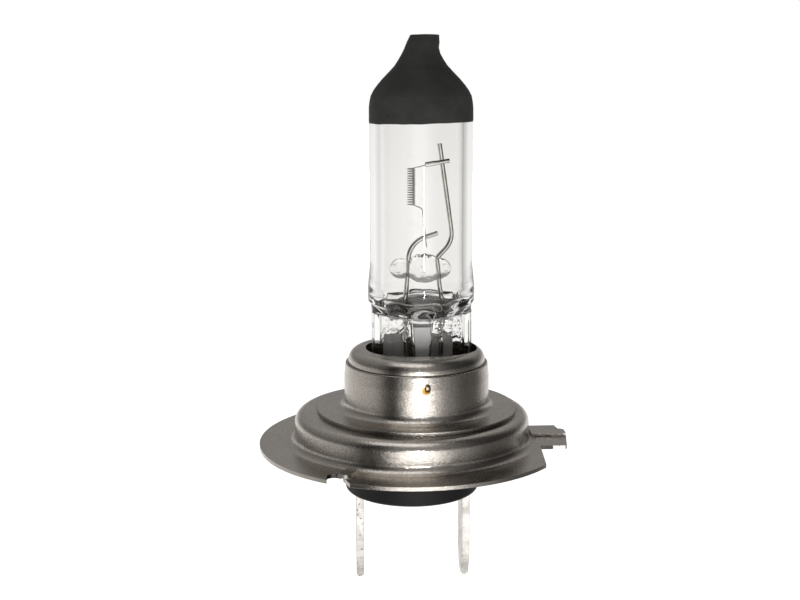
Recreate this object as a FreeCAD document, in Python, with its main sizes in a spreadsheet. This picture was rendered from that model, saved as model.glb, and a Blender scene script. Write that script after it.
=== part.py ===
"""Single-filament halogen headlight bulb on a two-blade prefocus base.

The frame has +Z along the reference axis, towards the glass tip, and +X towards the keying lug.
The origin is where that axis meets the reference plane, which touches the flange's two bosses and
the raised half of its lug. All sizes are in millimetres, and radii are of outside surfaces.
"""

import FreeCAD, Part
import math
import os
import Sketcher

doc = FreeCAD.newDocument("headlight_bulb")
sheet = doc.addObject("Spreadsheet::Sheet", "Sizes")

# shares of its half width that a rounded end takes, which leave a short straight between its bends
ROUND_END = 0.96
SOFT_END = 0.90

# degrees that a boss's sides lean in
BOSS_SLOPE = 40

SIZES = {
    # flange and ring, one pressing
    "shell_metal": 0.40,
    "boss_height": 0.30,
    "boss_half_width": 0.85,
    "boss_length": 2.95,
    "boss_start": -0.20,
    "boss_turn": 120.0,
    "ring_radius": 12.71,
    "ring_top": 3.00,
    "ring_shoulder": 1.10,
    "ring_root": 0.90,
    "flange_width": 3.84,
    "hole_room": 1.00,
    "lug_front": 3.72,
    "lug_back": 3.05,
    "lug_reach": 0.45,
    "lug_shoulder": 1.35,
    "lug_shoulder_inset": 0.61,
    "lug_corner_rake": 0.20,
    "lug_step_at": 0.20,
    "cutout_room": 0.88,
    "cutout_rake": 0.83,
    "notch_side": 8.55,
    "notch_width": 1.24,
    "notch_flare": 1.53,
    "notch_inset": 4.50,
    # press seal and glass
    "glass_offset": 1.05,
    "glass_radius": 5.43,
    "glass_wall": 1.05,
    "belly_swell": 0.28,
    "belly_bottom": 13.70,
    "belly_rise": 2.85,
    "belly_fall": 2.45,
    "glass_floor": 0.50,
    "dome_start": 36.81,
    "cone_height": 3.94,
    "neck_radius": 1.72,
    "neck_length": 2.20,
    "pip_bore": 0.45,
    "pip_rise": 0.40,
    "coating_overlap": 2.86,
    "coating_metal": 0.08,
    "seal_half_width": 5.30,
    "seal_thickness": 2.40,
    "seal_bottom": 2.60,
    "seal_rib_width": 0.90,
    "seal_rib_thickness": 3.40,
    "spine_thickness": 3.80,
    "spine_bottom": 8.50,
    "spine_top_width": 2.10,
    "spine_bottom_width": 1.50,
    # filament and its wires
    "coil_bottom": 25.15,
    "coil_length": 4.16,
    "coil_turns": 16,
    "coil_radius": 0.47,
    "filament_wire": 0.08,
    "lead_wire": 0.25,
    "cross_wire": 0.23,
    "weld_sink": 0.03,
    "lead_above_coil": 2.39,
    "bead_radius": 1.50,
    "bead_above_floor": 4.20,
    "bead_left": 2.35,
    "bead_right": 4.30,
    # where the wires bend, out from the axis or from the piece before
    "long_off_foil": 0.15,
    "long_at_floor": 3.33,
    "long_at_bead": 2.66,
    "long_at_elbow": 4.48,
    "long_at_end": 3.00,
    "long_elbow_rise": 2.99,
    "short_off_foil": 1.25,
    "short_at_floor": 0.65,
    "short_at_turn": 0.20,
    "short_turn_rise": 2.86,
    "short_at_end": 2.83,
    "short_end_rise": 3.86,
    "cross_at": 1.50,
    "cross_above_coil": 0.22,
    "cross_length": 2.53,
    "cross_climb": 0.40,
    "upper_leg_out": 0.45,
    "upper_leg_climb": 0.08,
    "lower_leg_out": 0.77,
    "lower_leg_drop": 0.33,
    "lower_leg_end_in": 1.21,
    "lower_leg_end_below": 1.49,
    # foils and outer leads in the seal
    "foil_metal": 0.06,
    "foil_width": 2.30,
    "foil_length": 6.80,
    "foil_inset": 2.00,
    "inner_lap": 2.50,
    "outer_lap": 2.00,
    "outer_lead_wire": 0.30,
    "outer_bend_top": 1.90,
    "outer_bend_bottom": 0.10,
    "outer_lead_end": 1.40,
    "foil_left_at": 1.90,
    "foil_right_at": 3.30,
    # sleeve, clip and collar round the seal
    "align_offset": 0.53,
    "sleeve_room": 1.56,
    "sleeve_metal": 0.36,
    "sleeve_stand": 1.50,
    "sleeve_bottom": 0.90,
    "sleeve_shoulder": 1.25,
    "mouth_room": 0.70,
    "mouth_half_depth": 4.90,
    "clip_metal": 0.30,
    "clip_inset": 2.50,
    "clip_height": 4.20,
    "clip_fit": 0.02,
    "clip_grip": 0.05,
    "collar_metal": 0.28,
    "collar_fit": 0.02,
    "collar_flare": 0.14,
    "collar_height": 5.00,
    "collar_taper": 1.43,
    "collar_root": 0.90,
    "foot_width": 2.91,
    "foot_metal": 0.40,
    # contact blades and insulator
    "blade_pitch": 11.52,
    "blade_metal": 0.80,
    "blade_width": 4.80,
    "blade_tip": 15.85,
    "blade_tip_width": 1.70,
    "blade_taper": 2.60,
    "blade_top": 0.20,
    "tongue_width": 2.40,
    "blade_fit": 0.02,
    "plug_wall": 0.65,
    "plug_bottom": 5.70,
    "plug_floor": 1.90,
    "plug_rim_depth": 2.70,
    "plug_fit": 0.05,
    "well_room": 0.50,
}

for row, (alias, number) in enumerate(SIZES.items(), start=1):
    sheet.set(f"A{row}", alias)
    sheet.set(f"B{row}", str(number))
    sheet.setAlias(f"B{row}", alias)
doc.recompute()


class Size:
    """A length that knows both its value and the sheet formula that gives it."""

    def __init__(self, value, formula=None):
        self.value = float(value)
        self.formula = formula or repr(float(value))

    def joined(self, other, sign, value):
        return Size(value, f"({self.formula} {sign} {other.formula})")

    def __add__(self, other):
        other = as_size(other)
        return self.joined(other, "+", self.value + other.value)

    def __sub__(self, other):
        other = as_size(other)
        return self.joined(other, "-", self.value - other.value)

    def __mul__(self, other):
        other = as_size(other)
        return self.joined(other, "*", self.value * other.value)

    def __truediv__(self, other):
        other = as_size(other)
        return self.joined(other, "/", self.value / other.value)

    def __neg__(self):
        return Size(-self.value, f"(0 - {self.formula})")

    __radd__ = __add__
    __rmul__ = __mul__


def as_size(number):
    return number if isinstance(number, Size) else Size(number)


def size(alias):
    """The sheet's value under this alias, bound to its cell."""
    return Size(sheet.get(alias), f"Sizes.{alias}")


def hypotenuse(a, b):
    return Size((a.value**2 + b.value**2) ** 0.5, f"sqrt({a.formula}^2 + {b.formula}^2)")


# sizes that follow from the sheet's
shell_metal = size("shell_metal")
flange_top = -size("boss_height")
flange_bottom = flange_top - shell_metal
ring_radius = size("ring_radius")
ring_top = size("ring_top")
flange_radius = ring_radius + size("flange_width")
glass_radius = size("glass_radius")
cavity_radius = glass_radius - size("glass_wall")
belly_radius = glass_radius + size("belly_swell")
cavity_bottom = size("belly_bottom") + size("glass_floor")
neck_start = size("dome_start") + size("cone_height")
tip_top = neck_start + size("neck_length")
coat = size("coating_metal")
seal_half_width = size("seal_half_width")
filament_wire = size("filament_wire")
lead_wire = size("lead_wire")
lead_plane = lead_wire + filament_wire - size("weld_sink")
glass_x = size("glass_offset")
sleeve_x = size("align_offset")
sleeve_radius = seal_half_width + glass_x - sleeve_x + size("sleeve_room")
sleeve_bore = sleeve_radius - size("sleeve_metal")
rim_bore = sleeve_radius + size("collar_fit")
rim_radius = rim_bore + size("collar_metal")
collar_bore = rim_bore + size("collar_flare")
collar_radius = rim_radius + size("collar_flare")
foot_radius = collar_radius + size("foot_width")
foot_top = ring_top + size("foot_metal")
collar_top = foot_top + size("collar_height")
collar_crease = collar_top - size("collar_taper")
sleeve_top = collar_top + size("sleeve_stand")
clip_bottom = size("sleeve_bottom") + size("clip_inset")
hole_radius = sleeve_radius + size("hole_room")
blade_x = size("blade_pitch") / 2
blade_half = size("blade_metal") / 2
blade_inner = blade_x - blade_half
blade_outer = blade_x + blade_half
plug_radius = hypotenuse(blade_outer, size("blade_width") / 2) + size("plug_wall")
well_radius = plug_radius - size("plug_wall")
foil_bottom = size("seal_bottom") + size("foil_inset")
foil_top = foil_bottom + size("foil_length")
foil_left_x = -size("foil_left_at")
foil_right_x = size("foil_right_at")
foil_face = lead_plane + lead_wire - size("weld_sink")
foil_plane = foil_face + size("foil_metal") / 2
outer_lead_plane = foil_face + size("weld_sink") - size("outer_lead_wire")
bead_height = cavity_bottom + size("bead_above_floor")
coil_top = size("coil_bottom") + size("coil_length")
cross_height = coil_top + size("cross_above_coil")
short_lead_top = bead_height + size("short_end_rise")


def bind(thing, name, length):
    """Sets a property from a size and ties it to the sheet."""
    thing.setExpression(name, as_size(length).formula)


def place(thing, x=0.0, y=0.0, z=0.0):
    for axis, length in (("x", x), ("y", y), ("z", z)):
        bind(thing, f"Placement.Base.{axis}", length)


def new_body(label):
    body = doc.addObject("PartDesign::Body", label)
    body.Label = label
    return body


def new_sketch(body, role, name, offset=0.0):
    """A sketch on one of the body's own origin planes, or a distance along its normal."""
    sketch = body.newObject("Sketcher::SketchObject", name)
    plane = next(feature for feature in body.Origin.OriginFeatures if feature.Role == role)
    sketch.AttachmentSupport = [(plane, "")]
    sketch.MapMode = "FlatFace"
    bind(sketch, "AttachmentOffset.Base.z", offset)
    return sketch


def unit(a, b):
    return (b - a).normalize()


def trace(sketch, corners, closed=True):
    """Straight lines through corners, each an (x, y) or an (x, y, radius) that rounds it.

    Every corner is a construction point held at its two sizes. Lines meet at it or pass through it.
    """
    points = []
    for corner in corners:
        x, y = as_size(corner[0]), as_size(corner[1])
        radius = as_size(corner[2]) if len(corner) > 2 else None
        points.append((x, y, radius, FreeCAD.Vector(x.value, y.value, 0)))
    count = len(points)
    marks = []
    for x, y, radius, spot in points:
        mark = sketch.addGeometry(Part.Point(spot), True)
        marks.append(mark)
        for direction, length in (("DistanceX", x), ("DistanceY", y)):
            rule = sketch.addConstraint(Sketcher.Constraint(direction, -1, 1, mark, 1, length.value))
            bind(sketch, f"Constraints[{rule}]", length)

    def cut_back(index, towards):
        """Where the line from a corner towards a neighbour starts, past the corner's rounding."""
        spot = points[index][3]
        radius = points[index][2]
        if radius is None:
            return spot
        before = unit(spot, points[(index - 1) % count][3])
        after = unit(spot, points[(index + 1) % count][3])
        half = before.getAngle(after) / 2
        reach = radius.value / math.tan(half)
        return spot + unit(spot, towards) * reach

    spans = count if closed else count - 1
    lines = []
    for index in range(spans):
        after = (index + 1) % count
        start = cut_back(index, points[after][3])
        end = cut_back(after, points[index][3])
        line = sketch.addGeometry(Part.LineSegment(start, end), False)
        lines.append(line)
        for corner, line_end in ((index, 1), (after, 2)):
            if points[corner][2] is None:
                rule = Sketcher.Constraint("Coincident", line, line_end, marks[corner], 1)
            else:
                rule = Sketcher.Constraint("PointOnObject", marks[corner], 1, line)
            sketch.addConstraint(rule)
    for index, (x, y, radius, spot) in enumerate(points):
        if radius is None:
            continue
        line_in, line_out = lines[index - 1], lines[index]
        start = cut_back(index, points[(index - 1) % count][3])
        end = cut_back(index, points[(index + 1) % count][3])
        middle = unit(spot, (start + end) * 0.5)
        rise = (radius.value**2 + (start - spot).Length**2) ** 0.5 - radius.value
        arc = sketch.addGeometry(Part.Arc(start, spot + middle * rise, end), False)
        arc_start = sketch.getPoint(arc, 1)
        first = 1 if (arc_start - start).Length < (arc_start - end).Length else 2
        sketch.addConstraint(Sketcher.Constraint("Tangent", line_in, 2, arc, first))
        sketch.addConstraint(Sketcher.Constraint("Tangent", arc, 3 - first, line_out, 1))
        rule = sketch.addConstraint(Sketcher.Constraint("Radius", arc, radius.value))
        bind(sketch, f"Constraints[{rule}]", radius)


def trace_circle(sketch, x, y, radius):
    x, y, radius = as_size(x), as_size(y), as_size(radius)
    centre = FreeCAD.Vector(x.value, y.value, 0)
    circle = sketch.addGeometry(Part.Circle(centre, FreeCAD.Vector(0, 0, 1), radius.value), False)
    for direction, length in (("DistanceX", x), ("DistanceY", y)):
        rule = sketch.addConstraint(Sketcher.Constraint(direction, -1, 1, circle, 3, length.value))
        bind(sketch, f"Constraints[{rule}]", length)
    rule = sketch.addConstraint(Sketcher.Constraint("Radius", circle, radius.value))
    bind(sketch, f"Constraints[{rule}]", radius)


def box_corners(low_x, low_y, high_x, high_y):
    return [(low_x, low_y), (high_x, low_y), (high_x, high_y), (low_x, high_y)]


def turned(body, name, corners, cut=False):
    """A solid of revolution about the body's Z axis, or the same shape taken away."""
    sketch = new_sketch(body, "XZ_Plane", f"{name}_outline")
    trace(sketch, corners)
    kind = "PartDesign::Groove" if cut else "PartDesign::Revolution"
    feature = body.newObject(kind, name)
    feature.Profile = sketch
    feature.ReferenceAxis = (sketch, ["V_Axis"])
    feature.Angle = 360
    return feature


def raised(body, name, sketch, length, both_ways=False):
    feature = body.newObject("PartDesign::Pad", name)
    feature.Profile = sketch
    feature.Midplane = both_ways
    bind(feature, "Length", length)
    return feature


def cut_into(body, name, sketch, depth=None, upwards=False):
    """A pocket to a depth, or through everything both ways where no depth is given."""
    feature = body.newObject("PartDesign::Pocket", name)
    feature.Profile = sketch
    if depth is None:
        feature.Type = "ThroughAll"
        feature.Midplane = True
    else:
        bind(feature, "Length", depth)
        feature.Reversed = upwards
    return feature


def wire(body, name, corners, radius, start_role):
    """A round wire along a bent path in the body's XZ plane, from a section at its first corner."""
    route = new_sketch(body, "XZ_Plane", f"{name}_route")
    trace(route, corners, closed=False)
    start_x, start_z = as_size(corners[0][0]), as_size(corners[0][1])
    if start_role == "XY_Plane":
        section = new_sketch(body, start_role, f"{name}_section", start_z)
        trace_circle(section, start_x, 0.0, radius)
    else:
        section = new_sketch(body, start_role, f"{name}_section", start_x)
        trace_circle(section, 0.0, start_z, radius)
    pipe = body.newObject("PartDesign::AdditivePipe", name)
    pipe.Profile = section
    pipe.Spine = (route, [])
    return pipe


def base_shell():
    """The stamped flange and raised ring, with the keying lug, two cut-outs, notch and two bosses."""
    body = new_body("base_shell")
    shoulder, root = size("ring_shoulder"), size("ring_root")
    turned(body, "pressing", [
        (flange_radius, flange_bottom),
        (flange_radius, flange_top),
        (ring_radius, flange_top, root),
        (ring_radius, ring_top, shoulder),
        (hole_radius, ring_top),
        (hole_radius, ring_top - shell_metal),
        (ring_radius - shell_metal, ring_top - shell_metal, shoulder - shell_metal),
        (ring_radius - shell_metal, flange_bottom, root + shell_metal),
    ])

    lug_base = ring_radius + size("ring_root") / 2
    lug_nose = flange_radius + size("lug_reach")
    front, back = size("lug_front"), size("lug_back")
    nose_corner, nose_round = 0.20, 0.55
    lap = 1.0
    shoulder_x = lug_nose - size("lug_shoulder_inset")
    back_corner = [
        (lug_nose, back - size("lug_shoulder"), nose_round),
        (shoulder_x, back - size("lug_shoulder")),
        (shoulder_x - size("lug_corner_rake"), back),
    ]
    lug = new_sketch(body, "XY_Plane", "lug_outline", flange_bottom)
    trace(lug, [
        (lug_base + lap, -front),
        (lug_nose - nose_round, -front, nose_corner),
        (lug_nose, -size("lug_step_at")),
        *back_corner,
        (lug_base + lap, back),
    ])
    raised(body, "lug", lug, shell_metal)

    cut_x = ring_radius + size("cutout_room")
    beyond = flange_radius + lap
    for name, edge, side in (("front", front, -1), ("back", back, 1)):
        cutout = new_sketch(body, "XY_Plane", f"{name}_cutout_outline")
        trace(cutout, [
            (cut_x, edge * side),
            (cut_x - size("cutout_rake"), flange_radius * side),
            (beyond, flange_radius * side),
            (beyond, edge * side),
        ])
        cut_into(body, f"{name}_cutout", cutout)

    half_notch = size("notch_width") / 2
    notch_round = half_notch * ROUND_END
    notch_end = -(flange_radius - size("notch_inset"))
    notch_x = -size("notch_side")
    notch = new_sketch(body, "XY_Plane", "notch_outline")
    trace(notch, [
        (notch_x - half_notch, -beyond),
        (notch_x + half_notch + size("notch_flare"), -beyond),
        (notch_x + half_notch + size("notch_flare"), -flange_radius),
        (notch_x + half_notch, notch_end, notch_round),
        (notch_x - half_notch, notch_end, notch_round),
    ])
    cut_into(body, "notch", notch)

    # the raised half of the lug and each boss are hollow underneath, as pressed metal is
    step = -size("lug_step_at")
    wall = 0.25
    land = new_sketch(body, "XY_Plane", "land_outline", flange_top)
    trace(land, [(lug_base, step), (lug_nose, step), *back_corner, (lug_base, back)])
    raised(body, "land", land, size("boss_height"))
    hollow = new_sketch(body, "XY_Plane", "land_hollow_outline", flange_bottom)
    hollow_start = ring_radius + size("ring_root") + wall
    trace(hollow, box_corners(hollow_start, step + wall, beyond, back + lap))
    cut_into(body, "land_hollow", hollow, size("boss_height"), upwards=True)

    half = size("boss_half_width")
    inner = ring_radius + size("boss_start")
    outer = inner + size("boss_length")
    turn = math.radians(-size("boss_turn").value)

    def about_boss(along, aside, radius):
        x = along * math.cos(turn) - aside * math.sin(turn)
        y = along * math.sin(turn) + aside * math.cos(turn)
        return (x, y, radius)

    def boss_corners(start, end, half):
        spots = ((start, -half), (end, -half), (end, half), (start, half))
        return [about_boss(along, aside, half * SOFT_END) for along, aside in spots]

    boss = new_sketch(body, "XY_Plane", "boss_outline", flange_top)
    trace(boss, boss_corners(inner, outer, half))
    bump = raised(body, "boss", boss, size("boss_height"))
    bump.TaperAngle = -BOSS_SLOPE
    dimple = new_sketch(body, "XY_Plane", "boss_hollow_outline", flange_bottom)
    trace(dimple, boss_corners(ring_radius + size("ring_root") + wall, outer - wall, half - wall))
    dent = cut_into(body, "boss_hollow", dimple, size("boss_height"), upwards=True)
    doc.recompute()
    twins = body.newObject("PartDesign::Mirrored", "second_boss")
    twins.Originals = [bump, dent]
    side_plane = next(f for f in body.Origin.OriginFeatures if f.Role == "XZ_Plane")
    twins.MirrorPlane = (side_plane, [""])
    body.Tip = twins
    return body


def adjusting_collar():
    """The welded collar: a foot disc on the ring, a barrel, and a rim that closes in on the sleeve."""
    body = new_body("adjusting_collar")
    rim_round = 0.12
    turned(body, "barrel", [
        (foot_radius, ring_top),
        (foot_radius, foot_top),
        (collar_radius, foot_top, size("collar_root")),
        (collar_radius, collar_crease),
        (rim_radius, collar_top, rim_round),
        (rim_bore, collar_top),
        (collar_bore, collar_crease),
        (collar_bore, ring_top, size("collar_root") / 2),
    ])
    place(body, x=sleeve_x)
    return body


def inner_sleeve():
    """The drawn cup that holds the glass, with an oval mouth round the press seal."""
    body = new_body("inner_sleeve")
    metal = size("sleeve_metal")
    turned(body, "cup", [
        (sleeve_radius, size("sleeve_bottom")),
        (sleeve_radius, sleeve_top, size("sleeve_shoulder")),
        (0, sleeve_top),
        (0, sleeve_top - metal),
        (sleeve_bore, sleeve_top - metal, size("sleeve_shoulder") - metal),
        (sleeve_bore, size("sleeve_bottom")),
    ])
    reach = seal_half_width + size("mouth_room")
    depth = size("mouth_half_depth")
    middle = glass_x - sleeve_x
    mouth = new_sketch(body, "XY_Plane", "mouth_outline")
    corners = box_corners(middle - reach, -depth, middle + reach, depth)
    trace(mouth, [(x, y, depth * ROUND_END) for x, y in corners])
    cut_into(body, "mouth", mouth)
    place(body, x=sleeve_x)
    return body


def pinch_clip():
    """The clip inside the sleeve: a disc with an upstanding band that grips the press seal."""
    body = new_body("pinch_clip")
    metal = size("clip_metal")
    middle = glass_x - sleeve_x
    disc = new_sketch(body, "XY_Plane", "disc_outline", clip_bottom)
    trace_circle(disc, 0, 0, sleeve_bore - size("clip_fit"))
    raised(body, "disc", disc, metal)
    inner_x = seal_half_width + size("clip_grip")
    inner_y = size("seal_rib_thickness") / 2 + size("clip_grip")
    for name, spare in (("band", metal), ("grip", as_size(0))):
        outline = new_sketch(body, "XY_Plane", f"{name}_outline", clip_bottom)
        trace(outline, box_corners(
            middle - inner_x - spare, lead_plane - inner_y - spare,
            middle + inner_x + spare, lead_plane + inner_y + spare,
        ))
        if name == "band":
            raised(body, name, outline, size("clip_height"))
        else:
            cut_into(body, name, outline)
    place(body, x=sleeve_x)
    return body


def insulator_plug():
    """The moulded insulator: a rim inside the ring, a plug below it, and slots for both blades."""
    body = new_body("insulator_plug")
    rim_radius_inside = ring_radius - shell_metal - size("plug_fit")
    rim_top = ring_top - shell_metal
    rim_bottom = rim_top - size("plug_rim_depth")
    well_step = size("sleeve_bottom") - size("well_room")
    bottom = -size("plug_bottom")
    edge_round = 0.35
    turned(body, "moulding", [
        (0, bottom),
        (plug_radius, bottom, edge_round),
        (plug_radius, rim_bottom),
        (rim_radius_inside, rim_bottom),
        (rim_radius_inside, rim_top, size("ring_shoulder")),
        (hole_radius, rim_top),
        (hole_radius, well_step),
        (well_radius, well_step),
        (well_radius, -size("plug_floor")),
        (0, -size("plug_floor")),
    ])
    half_x = blade_half + size("blade_fit")
    half_y = size("blade_width") / 2 + size("blade_fit")
    for name, side in (("left_slot", -1), ("right_slot", 1)):
        slot = new_sketch(body, "XY_Plane", f"{name}_outline")
        middle = blade_x * side
        trace(slot, box_corners(middle - half_x, -half_y, middle + half_x, half_y))
        cut_into(body, name, slot)
    return body


def blade(label, side):
    """A flat contact blade with a tapered, bevelled tip and a narrow tongue for its lead."""
    body = new_body(label)
    half, tip_half = size("blade_width") / 2, size("blade_tip_width") / 2
    tongue = size("tongue_width") / 2
    tip, shoulder = -size("blade_tip"), -size("plug_floor")
    taper_top = tip + size("blade_taper")
    taper_round, tip_bevel = 1.2, 0.28
    outline = new_sketch(body, "YZ_Plane", "outline")
    trace(outline, [
        (-tip_half, tip),
        (tip_half, tip),
        (half, taper_top, taper_round),
        (half, shoulder),
        (tongue, shoulder),
        (tongue, size("blade_top")),
        (-tongue, size("blade_top")),
        (-tongue, shoulder),
        (-half, shoulder),
        (-half, taper_top, taper_round),
    ])
    plate = raised(body, "plate", outline, size("blade_metal"), both_ways=True)
    doc.recompute()
    bevel = body.newObject("PartDesign::Chamfer", "tip_bevel")
    low = [
        f"Edge{number}"
        for number, edge in enumerate(plate.Shape.Edges, start=1)
        if edge.BoundBox.ZMax < tip.value + tip_bevel and edge.BoundBox.YLength > tip_half.value
    ]
    bevel.Base = (plate, low)
    bevel.Size = tip_bevel
    place(body, x=blade_x * side)
    return body


def foil(label, middle):
    """A thin molybdenum strip sealed in the flattened glass."""
    body = new_body(label)
    half = size("foil_width") / 2
    outline = new_sketch(body, "XZ_Plane", "outline")
    trace(outline, box_corners(middle - half, foil_bottom, middle + half, foil_top))
    raised(body, "strip", outline, size("foil_metal"), both_ways=True)
    place(body, y=foil_plane)
    return body


def outer_lead(label, middle, side):
    """A wire from a foil, out of the seal and across to the inner face of its blade's tongue."""
    body = new_body(label)
    radius = size("outer_lead_wire")
    at_blade = (blade_inner - radius) * side
    bend = 0.9
    wire(body, "rod", [
        (middle, foil_bottom + size("outer_lap")),
        (middle, size("outer_bend_top"), bend),
        (at_blade, size("outer_bend_bottom"), bend),
        (at_blade, -size("outer_lead_end")),
    ], radius, "XY_Plane")
    place(body, y=outer_lead_plane)
    return body


def inner_lead(label, corners):
    body = new_body(label)
    wire(body, "rod", corners, lead_wire, "XY_Plane")
    place(body, y=lead_plane)
    return body


def filament():
    """The tungsten coil on the reference axis, with a leg at each end."""
    body = new_body("filament")
    mean = size("coil_radius") - filament_wire
    low = size("coil_bottom") + filament_wire
    top = coil_top - filament_wire
    upper_bend, lower_bend = 0.5, 0.4
    grip_depth = 0.07
    section = new_sketch(body, "XZ_Plane", "coil_section")
    trace_circle(section, mean, low, filament_wire)
    coil = body.newObject("PartDesign::AdditiveHelix", "coil")
    coil.Profile = section
    coil.ReferenceAxis = (section, ["V_Axis"])
    coil.Mode = "height-turns-angle"
    bind(coil, "Height", top - low)
    bind(coil, "Turns", size("coil_turns"))
    out, climb = size("upper_leg_out"), size("upper_leg_climb")
    wire(body, "upper_leg", [
        (mean, top),
        (mean + out, top + climb, upper_bend),
        (size("cross_at") + out, cross_height + grip_depth),
    ], filament_wire, "YZ_Plane")
    wire(body, "lower_leg", [
        (mean, low),
        (mean + size("lower_leg_out"), low - size("lower_leg_drop"), lower_bend),
        (size("short_at_end") - size("lower_leg_end_in"), short_lead_top - size("lower_leg_end_below")),
    ], filament_wire, "YZ_Plane")
    return body


def bulb_outline(spare):
    """The glass outline from its belly to the tip, grown by a coating's thickness."""
    cone_turn = math.atan2(glass_radius.value - size("neck_radius").value, size("cone_height").value)
    cone_shift = spare * math.tan(cone_turn / 2)
    belly_round, dome_round, neck_round = 1.5, 3.4, 2.0
    belly_middle = size("belly_bottom") + size("belly_rise")
    return [
        (0, size("belly_bottom")),
        (belly_radius, size("belly_bottom"), belly_round),
        (belly_radius, belly_middle),
        (glass_radius + spare, belly_middle + size("belly_fall")),
        (glass_radius + spare, size("dome_start") + cone_shift, spare + dome_round),
        (size("neck_radius") + spare, neck_start + cone_shift, -spare + neck_round),
        (size("neck_radius") + spare, tip_top - coat + spare),
        (0, tip_top - coat + spare),
    ]


def glass_envelope():
    """The quartz tube, domed to a sealed-off tip above and pressed flat below."""
    body = new_body("glass_blank")
    turned(body, "bulb", bulb_outline(as_size(0)))
    inner_dome_drop, inner_neck_drop, floor_round, dome_round = 0.42, 0.21, 1.5, 2.6
    pip_top = neck_start + size("pip_rise")
    turned(body, "cavity", [
        (0, cavity_bottom),
        (cavity_radius, cavity_bottom, floor_round),
        (cavity_radius, size("dome_start") - inner_dome_drop, dome_round),
        (size("pip_bore"), neck_start - inner_neck_drop),
        (size("pip_bore"), pip_top),
        (0, pip_top),
    ], cut=True)

    low = size("seal_bottom")
    below_cavity = 0.2
    top = cavity_bottom - below_cavity
    rib_inner = seal_half_width - size("seal_rib_width")
    half_web, half_rib = size("seal_thickness") / 2, size("seal_rib_thickness") / 2
    blocks = (
        ("web", -seal_half_width, seal_half_width, half_web),
        ("left_rib", -seal_half_width, -rib_inner, half_rib),
        ("right_rib", rib_inner, seal_half_width, half_rib),
    )
    for name, left, right, half in blocks:
        outline = new_sketch(body, "XY_Plane", f"{name}_outline", low)
        trace(outline, box_corners(left, -half, right, half))
        raised(body, name, outline, top - low)
    spine_low, spine_high = size("spine_bottom_width") / 2, size("spine_top_width") / 2
    spine = new_sketch(body, "XZ_Plane", "spine_outline")
    trace(spine, [
        (-spine_low, size("spine_bottom")),
        (spine_low, size("spine_bottom")),
        (spine_high, top),
        (-spine_high, top),
    ])
    raised(body, "spine", spine, size("spine_thickness"), both_ways=True)
    place(body, x=glass_x, y=lead_plane)
    return body


def tip_coating():
    """The opaque coating on the dome and tip, as thick all over as its edge."""
    body = new_body("black_tip_coating")
    edge = size("dome_start") - size("coating_overlap")
    turned(body, "coat", [(0, edge), (glass_radius + coat, edge), *bulb_outline(coat)[4:]])
    turned(body, "glass_inside", bulb_outline(as_size(0)), cut=True)
    place(body, x=glass_x, y=lead_plane)
    return body


def glass_bridge():
    """The quartz bead that ties the two inner leads together."""
    body = new_body("bead_blank")
    radius = size("bead_radius")
    left, right = -size("bead_left"), size("bead_right")
    outline = new_sketch(body, "XZ_Plane", "bead_outline")
    end_round = radius * SOFT_END
    trace(outline, [(left, 0), (right, 0), (right, radius, end_round), (left, radius, end_round)])
    bead = body.newObject("PartDesign::Revolution", "bead")
    bead.Profile = outline
    bead.ReferenceAxis = (outline, ["H_Axis"])
    bead.Angle = 360
    place(body, y=lead_plane, z=bead_height)
    return body


def cut_round(label, blank, others):
    """The blank with the room that each of the others takes up cut out of it."""
    for number, other in enumerate(others, start=1):
        cut = doc.addObject("Part::Cut", f"{label}_cut_{number}")
        cut.Base = blank
        cut.Tool = other
        blank = cut
    blank.Label = label
    return blank


# the inner leads, as corners (x, height, bend radius) in their own plane
lead_bottom = foil_top - size("inner_lap")
floor_bend, bead_bend, elbow_bend, short_bend = 1.5, 0.8, 2.4, 2.6
bead_cap = 1.07
long_route = [
    (foil_right_x - size("long_off_foil"), lead_bottom),
    (size("long_at_floor"), cavity_bottom, floor_bend),
    (size("long_at_bead"), bead_height + bead_cap, bead_bend),
    (size("long_at_elbow"), bead_height + size("long_elbow_rise"), elbow_bend),
    (size("long_at_end"), coil_top + size("lead_above_coil")),
]
short_route = [
    (foil_left_x + size("short_off_foil"), lead_bottom),
    (-size("short_at_floor"), cavity_bottom, floor_bend),
    (-size("short_at_turn"), bead_height + size("short_turn_rise"), short_bend),
    (size("short_at_end"), short_lead_top),
]

long_lead = inner_lead("long_lead_wire", long_route)
coil = filament()
short_lead = cut_round("short_lead_wire", inner_lead("short_lead_blank", short_route), [coil])
cross_blank = new_body("cross_blank")
wire(cross_blank, "rod", [
    (size("cross_at"), cross_height),
    (size("cross_at") + size("cross_length"), cross_height + size("cross_climb")),
], size("cross_wire"), "YZ_Plane")
cross_wire = cut_round("upper_cross_wire", cross_blank, [long_lead, coil])

foil_blanks = [
    foil("foil_left_blank", foil_left_x),
    foil("foil_right_blank", foil_right_x),
]
outer_leads = [
    outer_lead("outer_lead_left", foil_left_x, -1),
    outer_lead("outer_lead_right", foil_right_x, 1),
]
foils = [
    cut_round("foil_left", foil_blanks[0], [short_lead, outer_leads[0]]),
    cut_round("foil_right", foil_blanks[1], [long_lead, outer_leads[1]]),
]
sealed_in = [long_lead, short_lead, *foil_blanks, *outer_leads]

pieces = [
    base_shell(),
    adjusting_collar(),
    inner_sleeve(),
    pinch_clip(),
    insulator_plug(),
    blade("blade_left", -1),
    blade("blade_right", 1),
    cut_round("glass_envelope", glass_envelope(), sealed_in),
    tip_coating(),
    cut_round("glass_bridge", glass_bridge(), [long_lead, short_lead]),
    coil,
    cross_wire,
    long_lead,
    short_lead,
    *foils,
    *outer_leads,
]
doc.recompute()

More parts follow.
